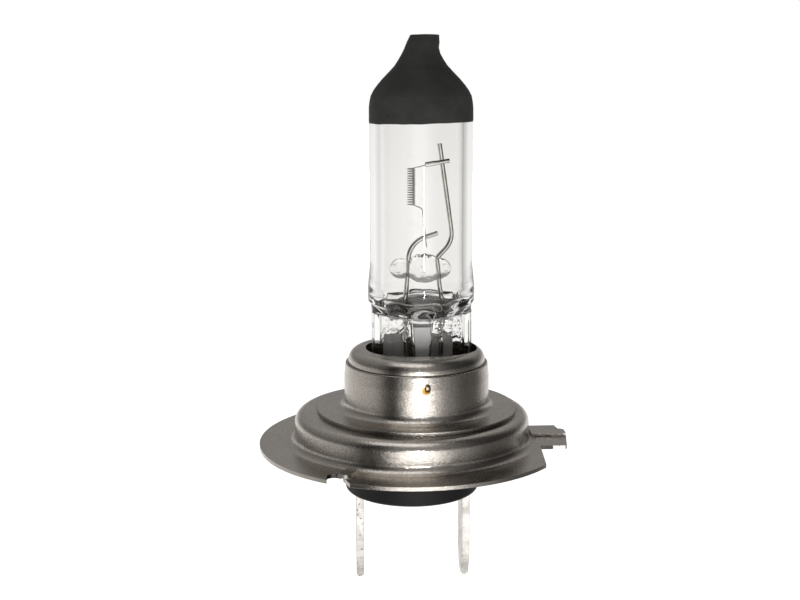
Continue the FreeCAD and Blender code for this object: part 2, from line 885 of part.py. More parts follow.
for thing in doc.Objects:
    if "Invalid" in thing.State or "Error" in thing.State:
        raise RuntimeError(f"{thing.Label} did not compute: {thing.State}")
for piece in pieces:
    if piece.Shape.isNull() or not piece.Shape.isValid() or not piece.Shape.Solids:
        raise RuntimeError(f"{piece.Label} is not a valid solid")

os.makedirs("parts", exist_ok=True)
for piece in pieces:
    piece.Shape.exportStep(f"parts/{piece.Label}.step")
    count = len(piece.Shape.Solids)
    print(f"{piece.Label}: {count} solid, {piece.Shape.Volume:.3f} mm3")
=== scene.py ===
"""Looks of a halogen headlight bulb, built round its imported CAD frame.

Lengths in the shapes below are millimetres; MM turns them into the scene's metres. +Z runs up the
bulb to its tip, +X points to the keying lug, and the camera looks roughly along +Y.
"""
import math

import bpy
import numpy as np
from mathutils import Matrix, Vector, noise


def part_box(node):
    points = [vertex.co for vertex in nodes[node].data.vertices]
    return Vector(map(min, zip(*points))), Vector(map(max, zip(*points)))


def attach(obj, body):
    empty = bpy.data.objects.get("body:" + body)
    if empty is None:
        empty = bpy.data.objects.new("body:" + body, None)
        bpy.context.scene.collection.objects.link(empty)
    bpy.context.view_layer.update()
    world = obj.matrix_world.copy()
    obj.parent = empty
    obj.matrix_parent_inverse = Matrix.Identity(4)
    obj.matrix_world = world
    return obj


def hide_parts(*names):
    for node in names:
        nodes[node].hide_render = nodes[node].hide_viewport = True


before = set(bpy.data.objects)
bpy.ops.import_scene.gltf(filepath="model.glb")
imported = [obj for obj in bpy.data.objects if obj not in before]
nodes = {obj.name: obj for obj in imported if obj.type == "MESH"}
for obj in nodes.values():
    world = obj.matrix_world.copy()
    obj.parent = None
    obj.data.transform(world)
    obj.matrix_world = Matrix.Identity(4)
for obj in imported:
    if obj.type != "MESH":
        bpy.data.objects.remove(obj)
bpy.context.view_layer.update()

MM = 0.001
scene = bpy.context.scene


# ---------------------------------------------------------------- camera

CAMERA_AT = (-7.537, -130.083, 38.735)
# yaw, pitch and roll in degrees
CAMERA_TURNS = (2.774, 10.301, -0.182)
FOCAL_LENGTH = 55.55
SENSOR_WIDTH = 36.0


def place_camera():
    """A lens as high as the dome, tilted down on the bulb."""
    yaw, pitch, roll = (math.radians(turn) for turn in CAMERA_TURNS)
    camera = bpy.data.cameras.new("camera")
    camera.lens = FOCAL_LENGTH
    camera.sensor_width = SENSOR_WIDTH
    camera.clip_start = 0.005
    camera.clip_end = 20.0
    holder = bpy.data.objects.new("camera", camera)
    scene.collection.objects.link(holder)
    level = Matrix.Rotation(-yaw, 4, "Z") @ Matrix.Rotation(math.pi / 2 - pitch, 4, "X")
    spot = Matrix.Translation(Vector(CAMERA_AT) * MM)
    holder.matrix_world = spot @ level @ Matrix.Rotation(roll, 4, "Z")
    scene.camera = holder


place_camera()


# ---------------------------------------------------------------- places taken from the frame

def middle_of(node):
    """The middle of a node's box, in millimetres."""
    low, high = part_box(node)
    return (low + high) / 2 / MM


glass_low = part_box("glass_envelope")[0] / MM
glass_x, glass_y = middle_of("glass_envelope").xy
tip_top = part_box("black_tip_coating")[1].z / MM
collar_x = middle_of("adjusting_collar").x
lead_y = middle_of("long_lead_wire").y
bead_low, bead_high = (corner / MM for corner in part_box("glass_bridge"))


# ---------------------------------------------------------------- small helpers for shapes

def smooth(low, high, value):
    """An even S from 0 at low to 1 at high, level beyond both. With low above high it falls."""
    share = min(1.0, max(0.0, (value - low) / (high - low)))
    return share * share * (3 - 2 * share)


def straight(rows, value):
    """Straight-line reading of (key, number) rows, level beyond its two ends."""
    keys, numbers = zip(*rows)
    return float(np.interp(value, keys, numbers))


def blend(a, b, share):
    return a + (b - a) * share


def steps(low, high, count):
    return [float(value) for value in np.linspace(low, high, count)]


def ripple(x, y, z, pitch, seed):
    """Even noise from -1 to 1 with bumps about one pitch across."""
    return noise.noise(Vector((x / pitch + seed, y / pitch - seed, z / pitch + 2.0 * seed)))


def join_rings(rings, inward=False):
    """Points and faces of a closed skin through rings of equal count, its two ends closed to a point."""
    count = len(rings[0])
    points = [point for ring in rings for point in ring]
    faces = []
    for index in range(len(rings) - 1):
        base, above = index * count, (index + 1) * count
        for k in range(count):
            after = (k + 1) % count
            faces.append((base + k, base + after, above + after, above + k))
    for ring_start, flip in ((0, True), ((len(rings) - 1) * count, False)):
        hub = len(points)
        points.append(sum((points[ring_start + k] for k in range(count)), Vector()) / count)
        for k in range(count):
            pair = (ring_start + k, ring_start + (k + 1) % count)
            faces.append((hub, *(reversed(pair) if flip else pair)))
    volume = 0.0
    for a, b, c, *rest in faces:
        volume += points[a].dot(points[b].cross(points[c]))
        for d in rest:
            volume += points[a].dot(points[c].cross(points[d]))
    if (volume < 0) != inward:
        faces = [tuple(reversed(face)) for face in faces]
    return points, faces


def make_piece(name, skins, material, node=None, crease=60.0):
    """One piece from closed skins in millimetres, smooth but for edges sharper than the crease."""
    points, faces = [], []
    for skin_points, skin_faces in skins:
        base = len(points)
        points += [point * MM for point in skin_points]
        faces += [tuple(base + k for k in face) for face in skin_faces]
    mesh = bpy.data.meshes.new(name)
    mesh.from_pydata(points, [], faces)
    mesh.materials.append(material)
    mesh.polygons.foreach_set("use_smooth", [True] * len(mesh.polygons))
    mesh.set_sharp_from_angle(angle=math.radians(crease))
    mesh.update()
    piece = bpy.data.objects.new(name, mesh)
    scene.collection.objects.link(piece)
    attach(piece, "root")
    if node:
        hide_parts(node)
    return piece


def rounded_path(corners, spacing):
    """Evenly spaced points along straight runs joined by arcs. A corner is (x, y, z, bend radius)."""
    spots = [Vector(corner[:3]) for corner in corners]
    path = [spots[0]]
    for index in range(1, len(spots) - 1):
        spot, bend = spots[index], corners[index][3]
        back = (spots[index - 1] - spot).normalized()
        ahead = (spots[index + 1] - spot).normalized()
        half = back.angle(ahead) / 2
        reach = bend / math.tan(half)
        start, end = spot + back * reach, spot + ahead * reach
        centre = spot + (back + ahead).normalized() * bend / math.sin(half)
        turn = math.pi - 2 * half
        count = max(4, int(bend * turn / spacing))
        for step in range(count + 1):
            share = step / count
            toward = (start - centre).normalized().slerp((end - centre).normalized(), share)
            path.append(centre + toward * bend)
    path.append(spots[-1])
    dense = [path[0]]
    for a, b in zip(path, path[1:]):
        count = max(1, int((b - a).length / spacing))
        dense += [a.lerp(b, step / count) for step in range(1, count + 1)]
    return dense


def rounded_end(ring, middle, outward, radius):
    """A slightly smaller ring just beyond the last one, so that a cut end has no razor edge."""
    rounding = 0.12
    out = outward.normalized() * radius * rounding
    return [middle + (point - middle) * (1 - rounding) + out for point in ring]


def tube(path, radius, sides, shape=None):
    """A round wire along a path. shape(share) gives factors for its width and depth.

    Its start is slightly rounded. Its far end is dished like a cropped wire, because
    the last ring is drawn back over the one before it.
    """
    rings = []
    side = Vector((0, 1, 0))
    last = len(path) - 1
    for index, spot in enumerate(path):
        ahead = path[min(index + 1, last)] - path[max(index - 1, 0)]
        ahead.normalize()
        side = (side - ahead * side.dot(ahead)).normalized()
        up = ahead.cross(side)
        width, depth = shape(index / last) if shape else (1.0, 1.0)
        ring = []
        for k in range(sides):
            turn = 2 * math.pi * k / sides
            sideways = side * math.cos(turn) * radius * depth
            upwards = up * math.sin(turn) * radius * width
            ring.append(spot + sideways + upwards)
        rings.append(ring)
    start = rounded_end(rings[0], path[0], path[0] - path[1], radius)
    end = rounded_end(rings[last - 1], path[last], path[last] - path[last - 1], radius)
    return join_rings([start, *rings, end])


# ---------------------------------------------------------------- effects shared by materials
# Scales of noise and cells count per metre. Depths, widths and reaches are metres.

def add(tree, kind, **values):
    """A node with its properties, and its inputs by name (spaces as underscores) or index."""
    node = tree.nodes.new(kind)
    for key, value in values.items():
        if key.startswith("in_"):
            name = key[3:]
            socket = node.inputs[int(name)] if name.isdigit() else node.inputs[name.replace("_", " ")]
            if isinstance(value, bpy.types.NodeSocket):
                tree.links.new(value, socket)
            else:
                socket.default_value = value
        else:
            setattr(node, key, value)
    return node


def math_node(tree, operation, a, b=0.0, c=0.0):
    node = add(tree, "ShaderNodeMath", operation=operation)
    for index, value in enumerate((a, b, c)):
        if isinstance(value, bpy.types.NodeSocket):
            tree.links.new(value, node.inputs[index])
        else:
            node.inputs[index].default_value = value
    return node.outputs[0]


def ramp(tree, factor, stops):
    """A factor turned into greys or colours by (place, value) stops."""
    node = add(tree, "ShaderNodeValToRGB")
    tree.links.new(factor, node.inputs[0])
    band = node.color_ramp
    while len(band.elements) < len(stops):
        band.elements.new(0.5)
    for element, (place, value) in zip(band.elements, stops):
        element.position = place
        element.color = (*value, 1) if isinstance(value, tuple) else (value, value, value, 1)
    return node.outputs[0]


def noise_node(tree, vector, scale, detail=3.0, roughness=0.55, distortion=0.0):
    """Cloudy noise from 0 to 1, with so many bumps per metre."""
    node = add(tree, "ShaderNodeTexNoise")
    tree.links.new(vector, node.inputs["Vector"])
    for name, value in (("Scale", scale), ("Detail", detail), ("Roughness", roughness),
                        ("Distortion", distortion)):
        if isinstance(value, bpy.types.NodeSocket):
            tree.links.new(value, node.inputs[name])
        else:
            node.inputs[name].default_value = value
    return node.outputs["Fac"]


def new_group(name, inputs, outputs):
    """A node group with float, colour or vector sockets, and its input and output nodes."""
    kinds = {"float": "NodeSocketFloat", "colour": "NodeSocketColor", "vector": "NodeSocketVector"}
    group = bpy.data.node_groups.new(name, "ShaderNodeTree")
    for label, kind, start in inputs:
        socket = group.interface.new_socket(label, in_out="INPUT", socket_type=kinds[kind])
        socket.default_value = start
    for label, kind in outputs:
        group.interface.new_socket(label, in_out="OUTPUT", socket_type=kinds[kind])
    return group, group.nodes.new("NodeGroupInput"), group.nodes.new("NodeGroupOutput")


def build_satin_grain():
    """Fine random grain with faint draw lines round the axis, as on plated deep-drawn strip."""
    group, given, out = new_group(
        "satin_grain",
        [("Grain", "float", 9000.0), ("Draw lines", "float", 0.3)],
        [("Height", "float"), ("Grain mask", "float"), ("Cloud", "float")],
    )
    place = add(group, "ShaderNodeTexCoord").outputs["Object"]
    grain = noise_node(group, place, given.outputs["Grain"], 3.0, 0.7)
    coarse = noise_node(group, place, math_node(group, "MULTIPLY", given.outputs["Grain"], 0.3), 2.0)
    split = add(group, "ShaderNodeSeparateXYZ", in_0=place)
    height_only = add(group, "ShaderNodeCombineXYZ", in_2=split.outputs[2])
    wander = math_node(group, "MULTIPLY", noise_node(group, place, 90.0, 2.0), 0.0004)
    drawn_at = add(group, "ShaderNodeVectorMath", operation="ADD", in_0=height_only.outputs[0])
    group.links.new(add(group, "ShaderNodeCombineXYZ", in_2=wander).outputs[0], drawn_at.inputs[1])
    lines = noise_node(group, drawn_at.outputs[0], 5200.0, 4.0, 0.75)
    both = math_node(group, "MULTIPLY_ADD", coarse, 0.6, grain)
    group.links.new(math_node(group, "MULTIPLY_ADD", lines, given.outputs["Draw lines"], both),
                    out.inputs["Height"])
    group.links.new(ramp(group, grain, [(0.38, 0.0), (0.62, 1.0)]), out.inputs["Grain mask"])
    cloud = noise_node(group, place, 240.0, 4.0, 0.6)
    group.links.new(ramp(group, cloud, [(0.3, 0.0), (0.7, 1.0)]), out.inputs["Cloud"])
    return group


def build_edge_wear():
    """A mask that is 1 along convex edges, broken up by noise, from a bevelled normal."""
    group, given, out = new_group(
        "edge_wear", [("Width", "float", 0.00008)], [("Mask", "float"), ("Normal", "vector")])
    bevel = add(group, "ShaderNodeBevel", samples=4)
    group.links.new(given.outputs["Width"], bevel.inputs["Radius"])
    plain = add(group, "ShaderNodeNewGeometry").outputs["Normal"]
    match = add(group, "ShaderNodeVectorMath", operation="DOT_PRODUCT", in_0=bevel.outputs[0], in_1=plain)
    place = add(group, "ShaderNodeTexCoord").outputs["Object"]
    breaks = noise_node(group, place, 2600.0, 3.0)
    edge = ramp(group, match.outputs["Value"], [(0.90, 1.0), (0.995, 0.0)])
    group.links.new(math_node(group, "MULTIPLY", edge, ramp(group, breaks, [(0.35, 0.2), (0.6, 1.0)])),
                    out.inputs["Mask"])
    group.links.new(bevel.outputs[0], out.inputs["Normal"])
    return group


def build_specks():
    """Sparse small specks of dust or pits, 1 inside a speck."""
    group, given, out = new_group(
        "specks", [("Spacing", "float", 1500.0), ("Amount", "float", 0.1)], [("Mask", "float")])
    place = add(group, "ShaderNodeTexCoord").outputs["Object"]
    cells = add(group, "ShaderNodeTexVoronoi", in_Vector=place)
    group.links.new(given.outputs["Spacing"], cells.inputs["Scale"])
    split = add(group, "ShaderNodeSeparateColor")
    group.links.new(cells.outputs["Color"], split.inputs[0])
    chosen = math_node(group, "LESS_THAN", split.outputs[0], given.outputs["Amount"])
    widest = 0.28
    size_here = math_node(group, "MULTIPLY", split.outputs[1], widest)
    inside = math_node(group, "LESS_THAN", cells.outputs["Distance"], size_here)
    group.links.new(math_node(group, "MULTIPLY", chosen, inside), out.inputs["Mask"])
    return group


def build_painted_corner_shade():
    """A mask that is 1 down in corners and gaps, where shade falls; it drives painted shade."""
    group, given, out = new_group("painted_corner_shade", [("Reach", "float", 0.0008)], [("Mask", "float")])
    shade = add(group, "ShaderNodeAmbientOcclusion", samples=4)
    group.links.new(given.outputs["Reach"], shade.inputs["Distance"])
    group.links.new(ramp(group, shade.outputs["AO"], [(0.25, 1.0), (0.8, 0.0)]), out.inputs["Mask"])
    return group


SATIN_GRAIN = build_satin_grain()
EDGE_WEAR = build_edge_wear()
SPECKS = build_specks()
PAINTED_CORNER_SHADE = build_painted_corner_shade()


def use_group(tree, group, **values):
    node = tree.nodes.new("ShaderNodeGroup")
    node.node_tree = group
    for name, value in values.items():
        node.inputs[name.replace("_", " ")].default_value = value
    return node


def mix_colour(tree, factor, a, b, mode="MIX"):
    """Two tones mixed by a factor. Each may be a plain value or a socket."""
    node = add(tree, "ShaderNodeMix", data_type="RGBA", blend_type=mode)
    for socket, value in zip((node.inputs[0], node.inputs[6], node.inputs[7]), (factor, a, b)):
        if isinstance(value, bpy.types.NodeSocket):
            tree.links.new(value, socket)
        elif isinstance(value, tuple):
            socket.default_value = (*value, 1)
        else:
            socket.default_value = value
    return node.outputs[2]


def stain(tree, colour, mask, amount, tone):
    """Lets a second tone show through where the mask is 1, by an amount from 0 to 1."""
    return mix_colour(tree, math_node(tree, "MULTIPLY", mask, amount), colour, tone)


def new_material(name, **settings):
    """A material with one Principled shader and its plain settings."""
    material = bpy.data.materials.new(name)
    material.use_nodes = True
    tree = material.node_tree
    shader = tree.nodes["Principled BSDF"]
    for key, value in settings.items():
        shader.inputs[key.replace("_", " ")].default_value = value
    return material, tree, shader


def bump(tree, shader, height, depth, normal=None):
    """A bump of a real depth in metres."""
    node = add(tree, "ShaderNodeBump")
    node.inputs["Strength"].default_value = 1.0
    node.inputs["Distance"].default_value = depth
    tree.links.new(height, node.inputs["Height"])
    if normal is not None:
        tree.links.new(normal, node.inputs["Normal"])
    tree.links.new(node.outputs[0], shader.inputs["Normal"])


# ---------------------------------------------------------------- materials

STEEL_TONE = (0.55, 0.51, 0.465)
# the tone of the painted shade in corners and gaps
CORNER_SHADE_TONE = (0.035, 0.032, 0.028)
# the tone of the painted shade on the notch's end wall
NOTCH_SHADE_TONE = (0.05, 0.047, 0.042)


def satin_steel(name, draw, tone=STEEL_TONE, rough=0.23, grain_depth=0.000017, shade_amount=0.88,
                weld_spots=(), notch_shade=None):
    """Plated strip steel: satin, grainy, brighter on its edges, with painted shade darkening its corners.

    draw is how strong the draw lines are; the shade amount sets how dark the painted shade in the corners
    gets.
    """
    material, tree, shader = new_material(name, Metallic=1.0)
    grain = use_group(tree, SATIN_GRAIN, Grain=5800.0, Draw_lines=draw)
    wear = use_group(tree, EDGE_WEAR, Width=0.00007)
    # painted shade: an occlusion mask darkens corners and gaps in the colour
    corner_shade = use_group(tree, PAINTED_CORNER_SHADE, Reach=0.0009)
    dull = tuple(channel * 0.84 for channel in tone)
    bright = tuple(min(1.0, channel * 1.36) for channel in tone)
    colour = mix_colour(tree, grain.outputs["Cloud"], dull, tone)
    colour = stain(tree, colour, grain.outputs["Grain mask"], 0.60, bright)
    colour = stain(tree, colour, wear.outputs["Mask"], 0.6, bright)
    colour = stain(tree, colour, corner_shade.outputs["Mask"], shade_amount, CORNER_SHADE_TONE)
    roughness = math_node(tree, "MULTIPLY_ADD", grain.outputs["Cloud"], 0.07, rough)
    roughness = math_node(tree, "MULTIPLY_ADD", grain.outputs["Grain mask"], -0.10, roughness)
    if weld_spots:
        colour = heat_tint(tree, colour, weld_spots)
    # painted shade: the notch's end wall is darkened in the colour
    if notch_shade:
        colour = mix_colour(tree, notch_shade_mask(tree, *notch_shade), colour, NOTCH_SHADE_TONE)
    tree.links.new(colour, shader.inputs["Base Color"])
    tree.links.new(roughness, shader.inputs["Roughness"])
    bump(tree, shader, grain.outputs["Height"], grain_depth, wear.outputs["Normal"])
    return material


def notch_shade_mask(tree, reach, top):
    """1 on upright faces below top and nearer the axis than reach: the notch's end wall, for painted shade.
    """
    place = add(tree, "ShaderNodeSeparateXYZ", in_0=add(tree, "ShaderNodeTexCoord").outputs["Object"])
    plain = add(tree, "ShaderNodeNewGeometry").outputs["True Normal"]
    facing = add(tree, "ShaderNodeSeparateXYZ", in_0=plain)
    upright = math_node(tree, "LESS_THAN", math_node(tree, "ABSOLUTE", facing.outputs[2]), 0.3)
    low = math_node(tree, "LESS_THAN", place.outputs[2], top)
    across = math_node(tree, "MULTIPLY", place.outputs[0], place.outputs[0])
    squared = math_node(tree, "MULTIPLY_ADD", place.outputs[1], place.outputs[1], across)
    near = math_node(tree, "LESS_THAN", math_node(tree, "SQRT", squared), reach)
    return math_node(tree, "MULTIPLY", math_node(tree, "MULTIPLY", upright, low), near)


def heat_tint(tree, colour, spots):
    """Straw and brown rings in the plating round each weld."""
    place = add(tree, "ShaderNodeTexCoord").outputs["Object"]
    nearest = None
    for spot in spots:
        gap = add(tree, "ShaderNodeVectorMath", operation="DISTANCE", in_0=place)
        gap.inputs[1].default_value = spot
        away = gap.outputs["Value"]
        nearest = away if nearest is None else math_node(tree, "MINIMUM", nearest, away)
    uneven = noise_node(tree, place, 2500.0, 2.0)
    away = math_node(tree, "MULTIPLY_ADD", uneven, 0.00022, nearest)
    share = math_node(tree, "DIVIDE", away, 0.001)
    tint = ramp(tree, share, [(0.0, (0.20, 0.11, 0.03)), (0.40, (0.62, 0.34, 0.08)),
                              (0.55, (0.80, 0.55, 0.22)), (0.72, (1.0, 0.97, 0.9))])
    strength = ramp(tree, share, [(0.42, 1.0), (0.74, 0.0)])
    return mix_colour(tree, strength, colour, tint, "MULTIPLY")


def weld_metal():
    """Metal that ran and set: an oxide ring with a bright middle."""
    material, tree, shader = new_material("weld_metal", Metallic=1.0)
    place = add(tree, "ShaderNodeTexCoord").outputs["Object"]
    blotch = noise_node(tree, place, 5200.0, 3.0)
    point = add(tree, "ShaderNodeAttribute", attribute_name="from_middle").outputs["Fac"]
    share = math_node(tree, "MULTIPLY_ADD", blotch, 0.25, point)
    colour = ramp(tree, share, [(0.20, (0.66, 0.62, 0.54)), (0.36, (0.40, 0.30, 0.16)),
                                (0.46, (0.03, 0.027, 0.02)), (0.90, (0.045, 0.035, 0.02)),
                                (1.0, (0.42, 0.25, 0.07))])
    tree.links.new(colour, shader.inputs["Base Color"])
    tree.links.new(math_node(tree, "MULTIPLY_ADD", blotch, 0.3, 0.15), shader.inputs["Roughness"])
    bump(tree, shader, blotch, 0.00001)
    return material


def tin_plate():
    """Bright tin over brass, pitted and lightly scuffed lengthwise."""
    material, tree, shader = new_material("tin_plate", Metallic=1.0)
    place = add(tree, "ShaderNodeTexCoord").outputs["Object"]
    stretched = add(tree, "ShaderNodeMapping", in_Vector=place)
    stretched.inputs["Scale"].default_value = (1.0, 1.0, 0.12)
    scuffs = noise_node(tree, stretched.outputs[0], 7000.0, 4.0, 0.7)
    pits = use_group(tree, SPECKS, Spacing=3300.0, Amount=0.95)
    stains = noise_node(tree, place, 700.0, 4.0, 0.65)
    stained = ramp(tree, stains, [(0.38, 0.0), (0.66, 1.0)])
    colour = mix_colour(tree, stained, (0.80, 0.79, 0.75), (0.50, 0.48, 0.44))
    colour = stain(tree, colour, pits.outputs[0], 0.95, (0.12, 0.112, 0.10))
    tree.links.new(colour, shader.inputs["Base Color"])
    tree.links.new(math_node(tree, "MULTIPLY_ADD", scuffs, 0.35, 0.16), shader.inputs["Roughness"])
    wear = use_group(tree, EDGE_WEAR, Width=0.00009)
    height = math_node(tree, "MULTIPLY_ADD", pits.outputs[0], -1.2, scuffs)
    height = math_node(tree, "MULTIPLY_ADD", stains, 2.0, height)
    bump(tree, shader, height, 0.000012, wear.outputs["Normal"])
    return material


def black_moulding():
    """Near-black moulded plastic with a fine spark-eroded surface and a few specks of dust."""
    material, tree, shader = new_material("black_moulding", IOR=1.52, Specular_IOR_Level=0.35)
    place = add(tree, "ShaderNodeTexCoord").outputs["Object"]
    texture = noise_node(tree, place, 6500.0, 3.0, 0.6)
    cloud = noise_node(tree, place, 380.0, 3.0)
    dust = use_group(tree, SPECKS, Spacing=1700.0, Amount=0.07)
    wear = use_group(tree, EDGE_WEAR, Width=0.00012)
    colour = mix_colour(tree, cloud, (0.006, 0.0053, 0.0056), (0.011, 0.0095, 0.010))
    colour = stain(tree, colour, wear.outputs["Mask"], 0.35, (0.07, 0.066, 0.066))
    colour = stain(tree, colour, dust.outputs[0], 0.4, (0.20, 0.19, 0.18))
    tree.links.new(colour, shader.inputs["Base Color"])
    tree.links.new(math_node(tree, "MULTIPLY_ADD", texture, 0.22, 0.48), shader.inputs["Roughness"])
    bump(tree, shader, texture, 0.000014, wear.outputs["Normal"])
    return material


def dipped_coating():
    """Matt heat-proof coating, slightly uneven, with a few pinholes."""
    material, tree, shader = new_material("dipped_coating", IOR=1.45, Specular_IOR_Level=0.3)
    place = add(tree, "ShaderNodeTexCoord").outputs["Object"]
    powder = noise_node(tree, place, 9000.0, 3.0, 0.7)
    cloud = noise_node(tree, place, 260.0, 4.0, 0.6)
    pinholes = use_group(tree, SPECKS, Spacing=1100.0, Amount=0.06)
    thin = ramp(tree, cloud, [(0.32, 0.0), (0.68, 1.0)])
    colour = mix_colour(tree, thin, (0.024, 0.024, 0.023), (0.043, 0.043, 0.040))
    colour = stain(tree, colour, pinholes.outputs[0], 0.5, (0.008, 0.008, 0.008))
    tree.links.new(colour, shader.inputs["Base Color"])
    tree.links.new(math_node(tree, "MULTIPLY_ADD", powder, 0.2, 0.62), shader.inputs["Roughness"])
    height = math_node(tree, "MULTIPLY_ADD", cloud, 3.0, powder)
    height = math_node(tree, "MULTIPLY_ADD", pinholes.outputs[0], -1.0, height)
    bump(tree, shader, height, 0.000012)
    return material


def drawn_wire(name, tone, rough, metallic=1.0):
    """Wire with fine lengthwise die marks and darker patches where it was heated."""
    material, tree, shader = new_material(name, Metallic=metallic)
    place = add(tree, "ShaderNodeTexCoord").outputs["Object"]
    stretched = add(tree, "ShaderNodeMapping", in_Vector=place)
    stretched.inputs["Scale"].default_value = (1.0, 1.0, 0.08)
    marks = noise_node(tree, stretched.outputs[0], 14000.0, 3.0, 0.7)
    patches = noise_node(tree, place, 900.0, 3.0)
    dull = tuple(channel * 0.78 for channel in tone)
    colour = mix_colour(tree, ramp(tree, patches, [(0.35, 0.0), (0.65, 1.0)]), tone, dull)
    tree.links.new(colour, shader.inputs["Base Color"])
    tree.links.new(math_node(tree, "MULTIPLY_ADD", marks, 0.10, rough), shader.inputs["Roughness"])
    bump(tree, shader, marks, 0.0000025)
    return material


QUARTZ_TONE = (0.990, 0.988, 0.980)


def clear_quartz(name, bending, frosted=False):
    """Fire-polished quartz. A frosted piece is rough and grey where its "frost" mark is 1."""
    material, tree, shader = new_material(name, Transmission_Weight=1.0, IOR=bending, Metallic=0.0)
    shader.inputs["Base Color"].default_value = (*QUARTZ_TONE, 1)
    place = add(tree, "ShaderNodeTexCoord").outputs["Object"]
    swirl = noise_node(tree, place, 420.0, 2.0, 0.5, 0.4)
    if frosted:
        mask = add(tree, "ShaderNodeAttribute", attribute_name="frost").outputs["Fac"]
        tree.links.new(math_node(tree, "MULTIPLY", mask, 0.45), shader.inputs["Roughness"])
        tint = mix_colour(tree, mask, QUARTZ_TONE, (0.60, 0.60, 0.59))
        tree.links.new(tint, shader.inputs["Base Color"])
    else:
        tree.links.new(math_node(tree, "MULTIPLY", swirl, 0.01), shader.inputs["Roughness"])
    bump(tree, shader, swirl, 0.000006)
    return material


def frosted_glass():
    """White-grey pressed skin, a little see-through."""
    material, tree, shader = new_material("frosted_skin", IOR=1.45, Roughness=0.5)
    place = add(tree, "ShaderNodeTexCoord").outputs["Object"]
    cloud = noise_node(tree, place, 1100.0, 4.0, 0.6)
    specks = use_group(tree, SPECKS, Spacing=2600.0, Amount=0.16)
    colour = mix_colour(tree, cloud, (0.86, 0.855, 0.84), (0.93, 0.925, 0.91))
    colour = stain(tree, colour, specks.outputs[0], 0.5, (0.70, 0.70, 0.69))
    tree.links.new(colour, shader.inputs["Base Color"])
    tree.links.new(math_node(tree, "MULTIPLY_ADD", cloud, 0.08, 0.90), shader.inputs["Alpha"])
    bump(tree, shader, cloud, 0.00001)
    return material


# the first weld is just off the front, the others a third of a turn further each
weld_turns = [math.radians(turn) for turn in (4.9, 124.9, 244.9)]
WELD_HEIGHT = 7.21
WELD_RADIUS = 7.78
weld_places = [
    Vector((collar_x + WELD_RADIUS * math.sin(turn), -WELD_RADIUS * math.cos(turn), WELD_HEIGHT))
    for turn in weld_turns
]
TINT_SHIFT = Vector((-0.18, 0, -0.24))
tint_places = [(place + TINT_SHIFT) * MM for place in weld_places]

# the pressed steel's notch wall gets painted shade
pressed_steel = satin_steel("pressed_steel", 0.15, notch_shade=(15.4 * MM, -0.25 * MM))
drawn_steel = satin_steel("drawn_steel", 0.5, shade_amount=0.35)
collar_steel = satin_steel("collar_steel", 0.5, weld_spots=tint_places)
clip_steel = satin_steel("clip_steel", 0.1, tone=(0.66, 0.64, 0.60), rough=0.34, grain_depth=0.000008)
weld_bead = weld_metal()
tin = tin_plate()
plastic = black_moulding()
coating = dipped_coating()
lead_metal = drawn_wire("lead_metal", (0.95, 0.93, 0.88), 0.03)
coil_metal = drawn_wire("coil_metal", (0.66, 0.64, 0.61), 0.10)
foil_metal = drawn_wire("foil_metal", (0.90, 0.89, 0.87), 0.50, metallic=0.20)
seal_quartz = clear_quartz("seal_quartz", bending=1.458, frosted=True)
bead_quartz = clear_quartz("bead_quartz", bending=1.22)
frosted_skin = frosted_glass()


# ---------------------------------------------------------------- glass envelope

GLASS_RADIUS = 5.43
BELLY_RADIUS = 5.72
CAP_START = 34.0
# (height, radius) up the tube: a swollen belly over the shoulder, then straight
TUBE_RADIUS = [
    (13.75, 5.36), (14.35, 5.52), (15.05, 5.70), (15.65, BELLY_RADIUS), (16.35, BELLY_RADIUS),
    (17.00, 5.68), (17.65, 5.60), (18.25, 5.54), (18.95, 5.46), (21.55, 5.44), (28.0, 5.42),
    (CAP_START, GLASS_RADIUS),
]
# (height, radius) over the dome and up the sealed-off tip
CAP_RADIUS = [
    (CAP_START, GLASS_RADIUS), (35.45, 5.41), (36.05, 5.35), (36.65, 5.23), (37.25, 4.93),
    (37.85, 4.48), (38.45, 3.96), (39.10, 3.33), (39.75, 2.72), (40.35, 2.32), (40.95, 1.97),
    (41.55, 1.74), (42.15, 1.66), (42.70, 1.50), (42.95, 1.45),
]
# (height, shift towards the lug) of the tip, which was pulled off aslant
CAP_LEAN = [(41.0, 0.0), (41.55, 0.06), (42.15, 0.21), (42.95, 0.39)]
WALL = 1.05
SEAL_HALF = 5.30
WEB_HALF = 1.20
RIB_HALF = 1.70
RIB_INNER = 4.40
SPINE_HALF = 1.90
SPINE_TOP = 13.0
SPINE_BOTTOM = 8.5
SEAL_LOW = glass_low.z
# the shoulder: its round edge starts, its underside starts, its root starts, and how far the root drops
EDGE_TOP = 14.95
UNDERSIDE = 13.63
ROOT = 13.40
ROOT_DROP = 0.75
FACE_POINTS = 150
SIDE_POINTS = 18


def spine_share(x, z):
    """1 on the raised pad down the middle of the seal, which narrows downwards."""
    half = blend(0.75, 1.05, smooth(SPINE_BOTTOM, SPINE_TOP, z))
    above_foot = smooth(SPINE_BOTTOM - 0.3, SPINE_BOTTOM + 0.1, z)
    return (1 - smooth(half - 0.12, half + 0.12, abs(x))) * above_foot


def crinkle(x, z, side):
    """Pressed glass between the pad and the ribs is wrinkled, most of all just under the shoulder."""
    panel = smooth(1.15, 1.5, abs(x)) * (1 - smooth(4.1, 4.4, abs(x)))
    high = smooth(10.5, 11.2, z) * (1 - smooth(12.8, 13.4, z))
    folds = ripple(x, side * 3.0, z, 0.46, 3.1) + 0.55 * ripple(x, side * 3.0, z, 0.21, 7.7)
    low = 0.16 * ripple(x, side * 5.0, z, 1.1, 11.3)
    return 0.16 * panel * (high * folds + (1 - high) * low)


